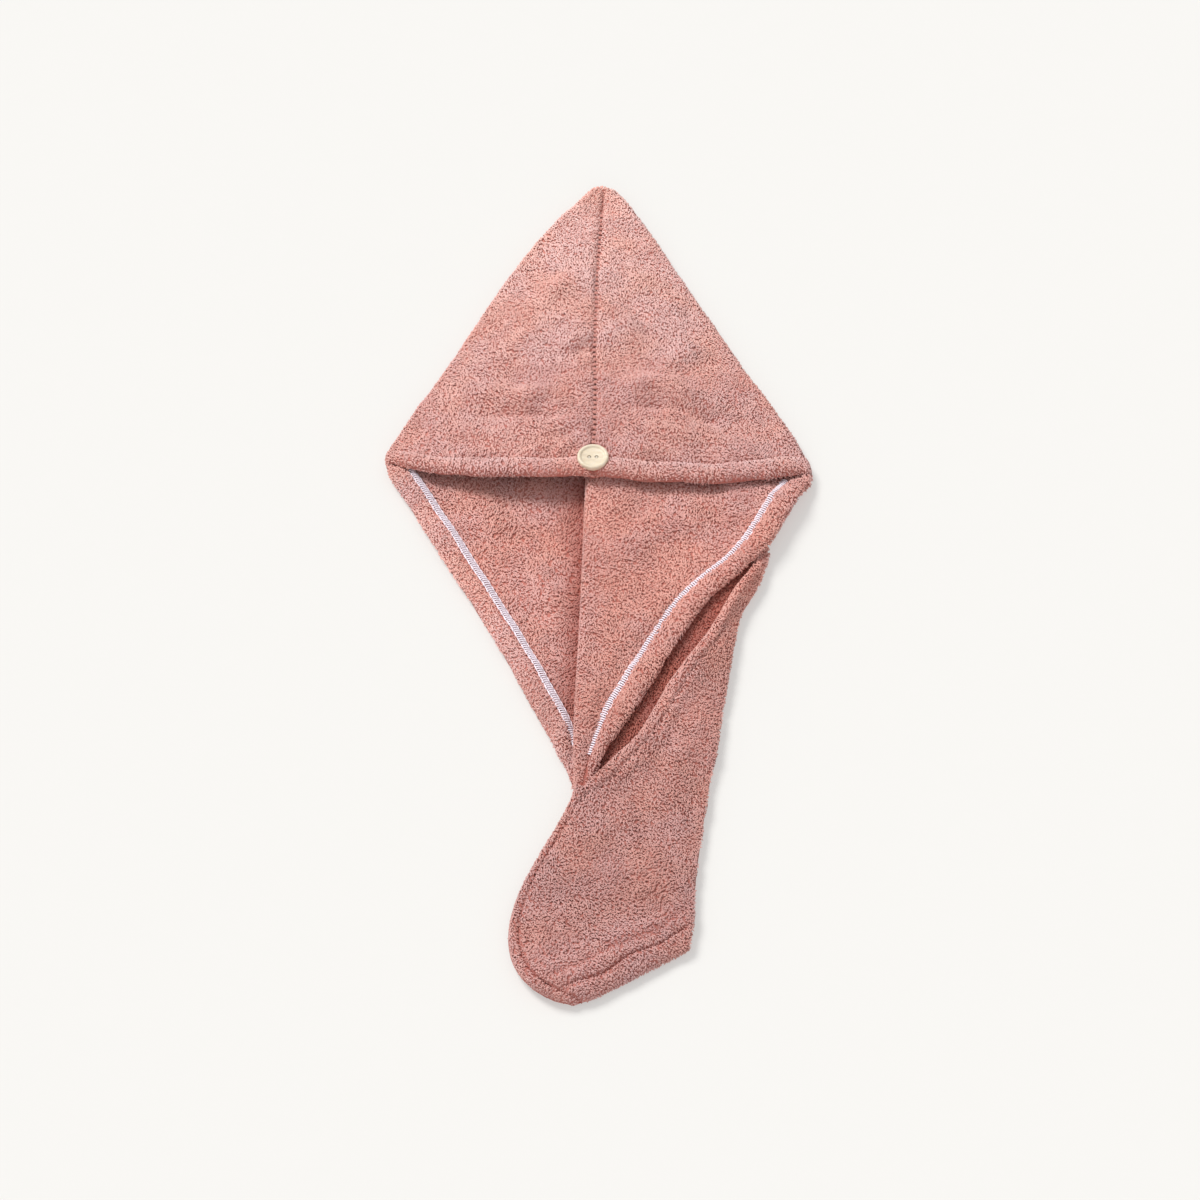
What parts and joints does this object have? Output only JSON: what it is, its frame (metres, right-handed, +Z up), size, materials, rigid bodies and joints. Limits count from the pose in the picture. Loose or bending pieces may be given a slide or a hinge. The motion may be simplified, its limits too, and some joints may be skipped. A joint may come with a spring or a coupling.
{
  "type": "hair turban towel",
  "caption": "Fleece hair turban towel lying open: a pointed hood with a hemmed opening and a button at the nape, narrowing into a closed tail.",
  "frame": {"origin": "middle of the towel's outline, on the surface that it lies on", "axes": "+Y from the tail's tip towards the point of the nape, +Z up from the surface, +X towards the side that the tail leans to"},
  "size_m": [0.2442, 0.5884, 0.0261],
  "materials": {
    "fleece": "dusty coral fleece with a short dense pile",
    "button": "cream, satin",
    "thread": "cream sewing thread"
  },
  "bodies": {
    "root": {"left_nape": "fleece", "left_front": "fleece", "right_nape": "fleece", "right_front": "fleece", "button": "button", "button_thread": "thread"}
  },
  "joints": []
}
